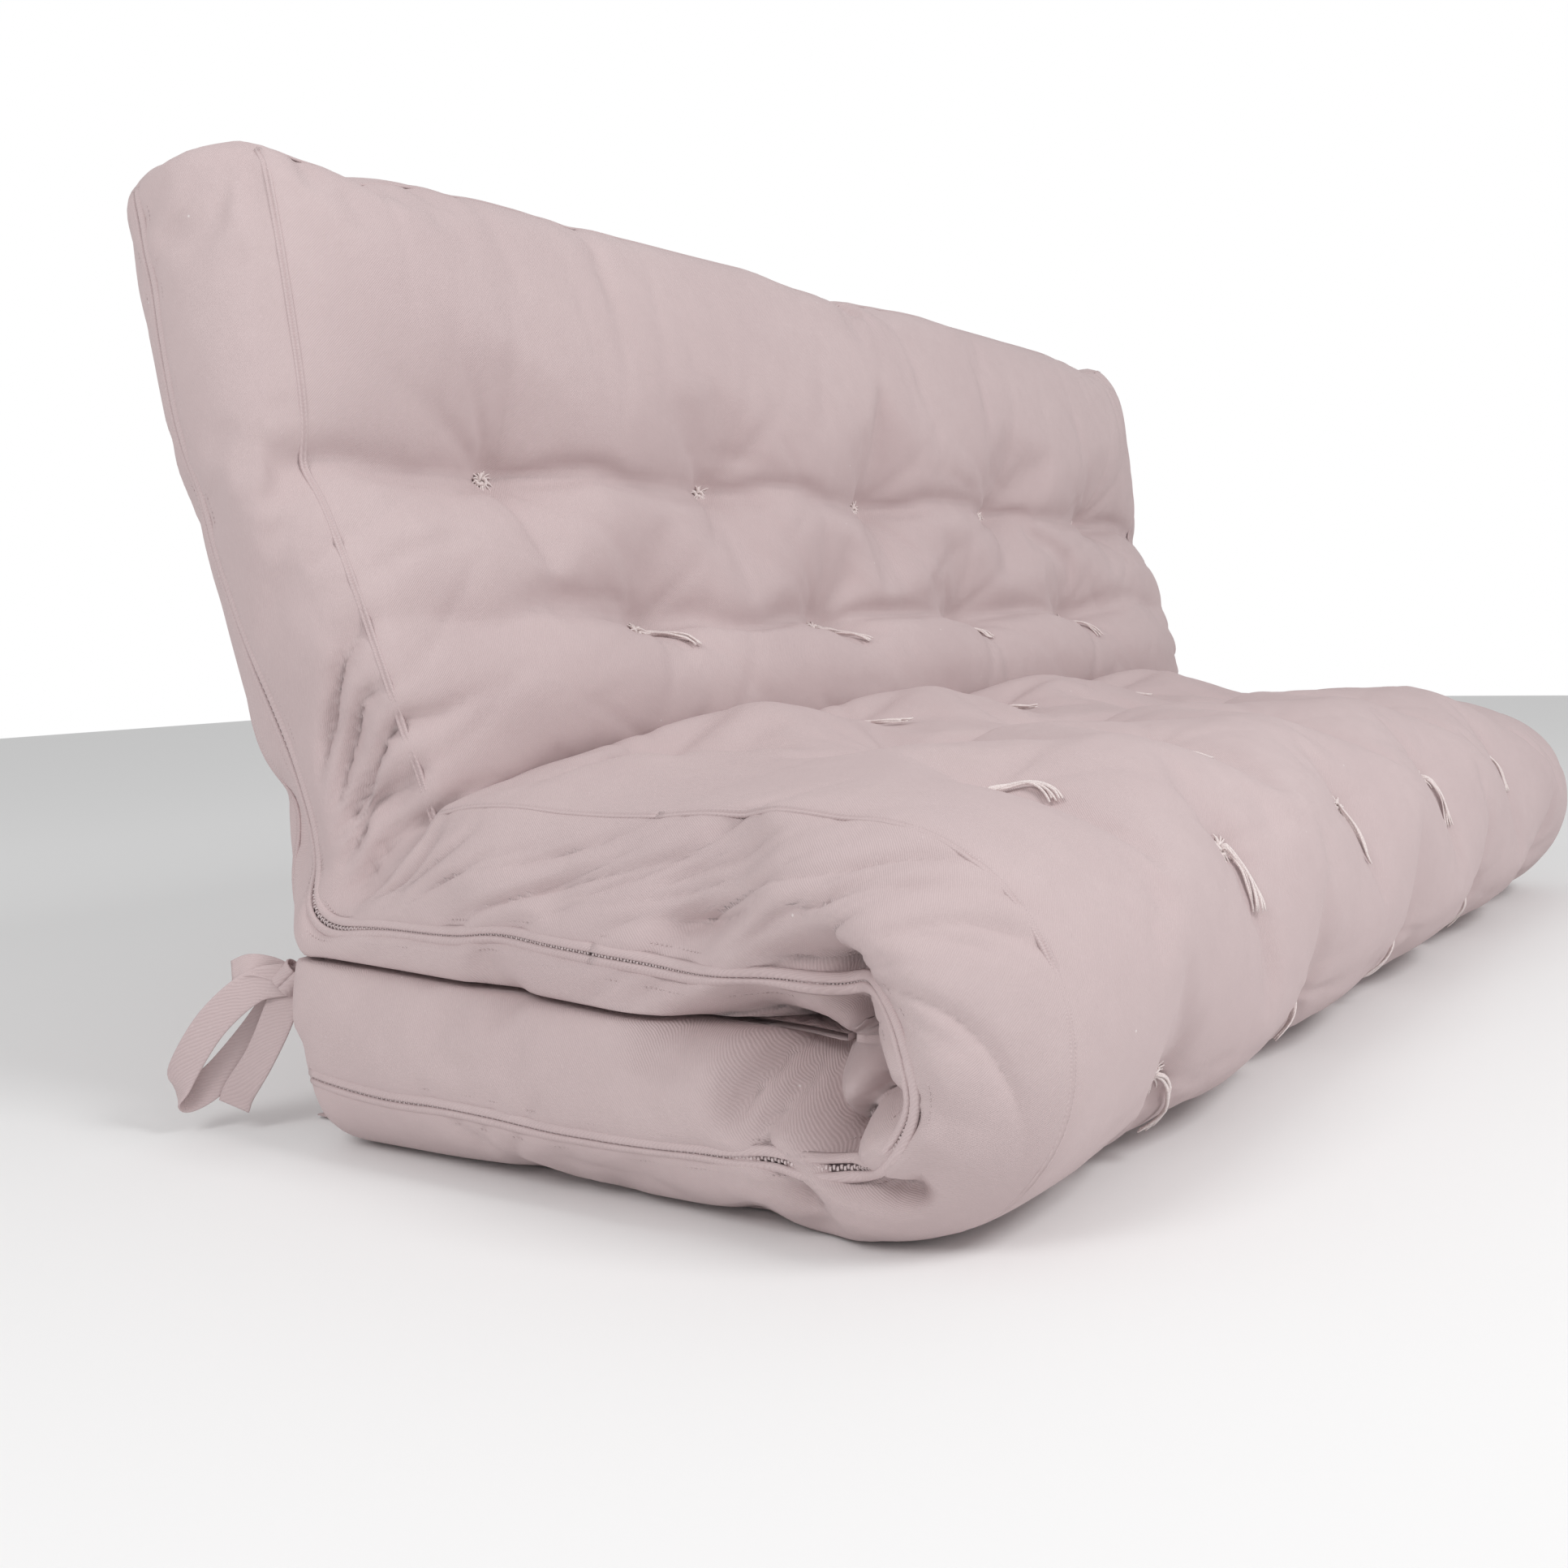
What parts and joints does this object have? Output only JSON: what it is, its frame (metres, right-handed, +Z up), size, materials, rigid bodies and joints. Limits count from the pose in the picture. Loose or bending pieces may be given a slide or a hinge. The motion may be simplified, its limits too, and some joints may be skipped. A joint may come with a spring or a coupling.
{
  "type": "futon mattress",
  "caption": "Tufted cotton futon mattress folded in three as a sofa: leaning back, seat on a lower section, rounded front roll, side zip and tie tapes.",
  "frame": {"origin": "on the floor, under the middle of the folded mattress", "axes": "+X along the width of the sofa, +Y from the front roll to the back, +Z up"},
  "size_m": [1.8, 0.8411, 0.8342],
  "materials": {
    "cloth": "matt dusty pink cotton twill",
    "felt": "raw cotton felt batting",
    "foam": "open cell foam",
    "twine": "soft twisted cotton twine",
    "zip": "woven zip tape with nylon coil",
    "metal": "satin lacquered zip metal"
  },
  "bodies": {
    "seat": {"roll_cover_upper": "cloth", "roll_fill_upper": "felt", "seat_boxing_left_lower": "cloth", "seat_boxing_left_upper": "cloth", "seat_boxing_right": "cloth", "seat_face_bottom": "cloth", "seat_face_top": "cloth", "seat_felt_bottom": "felt", "seat_felt_top": "felt", "seat_foam_core": "foam", "seat_tuft_1": "twine", "seat_tuft_2": "twine", "seat_tuft_3": "twine", "seat_tuft_4": "twine", "seat_tuft_5": "twine", "seat_tuft_6": "twine", "seat_tuft_7": "twine", "seat_tuft_8": "twine", "seat_tuft_9": "twine", "seat_zip": "zip", "tie_bow_left": "cloth", "tie_bow_right": "cloth"},
    "back": {"back_boxing_end": "cloth", "back_boxing_left_lower": "cloth", "back_boxing_left_upper": "cloth", "back_boxing_right": "cloth", "back_face_bottom": "cloth", "back_face_top": "cloth", "back_felt_bottom": "felt", "back_felt_top": "felt", "back_foam_core": "foam", "back_tuft_1": "twine", "back_tuft_2": "twine", "back_tuft_3": "twine", "back_tuft_4": "twine", "back_tuft_5": "twine", "back_tuft_6": "twine", "back_tuft_7": "twine", "back_tuft_8": "twine", "back_tuft_9": "twine", "back_zip": "zip"},
    "lower": {"lower_boxing_end": "cloth", "lower_boxing_left_lower": "cloth", "lower_boxing_left_upper": "cloth", "lower_boxing_right": "cloth", "lower_face_bottom": "cloth", "lower_face_top": "cloth", "lower_felt_bottom": "felt", "lower_felt_top": "felt", "lower_foam_core": "foam", "lower_zip": "zip", "roll_cover_lower": "cloth", "roll_fill_lower": "felt", "tie_end_left": "cloth", "tie_end_right": "cloth"},
    "zip_slider": {"zip_slider": "metal"},
    "zip_pull": {"zip_pull": "metal"}
  },
  "joints": [
    {"name": "back_fold", "type": "hinge", "parent": "seat", "child": "back", "pos_m": [0, 0.23462, 0.1453], "axis": [-1, 0, 0], "range_deg": [0, 74]},
    {"name": "front_fold", "type": "hinge", "parent": "seat", "child": "lower", "pos_m": [0, -0.32538, 0.1453], "axis": [-1, 0, 0], "range_deg": [0, 180], "deforming": ["roll_fill_upper", "roll_fill_lower", "roll_cover_upper", "roll_cover_lower"]},
    {"name": "zip_slide", "type": "slide", "parent": "lower", "child": "zip_slider", "axis": [0, -1, 0], "range_m": [0, 0.42]},
    {"name": "pull_swing", "type": "hinge", "parent": "zip_slider", "child": "zip_pull", "pos_m": [-0.89655, 0.18562, 0.0725], "axis": [0, 0, 1], "range_deg": [0, 180]}
  ]
}
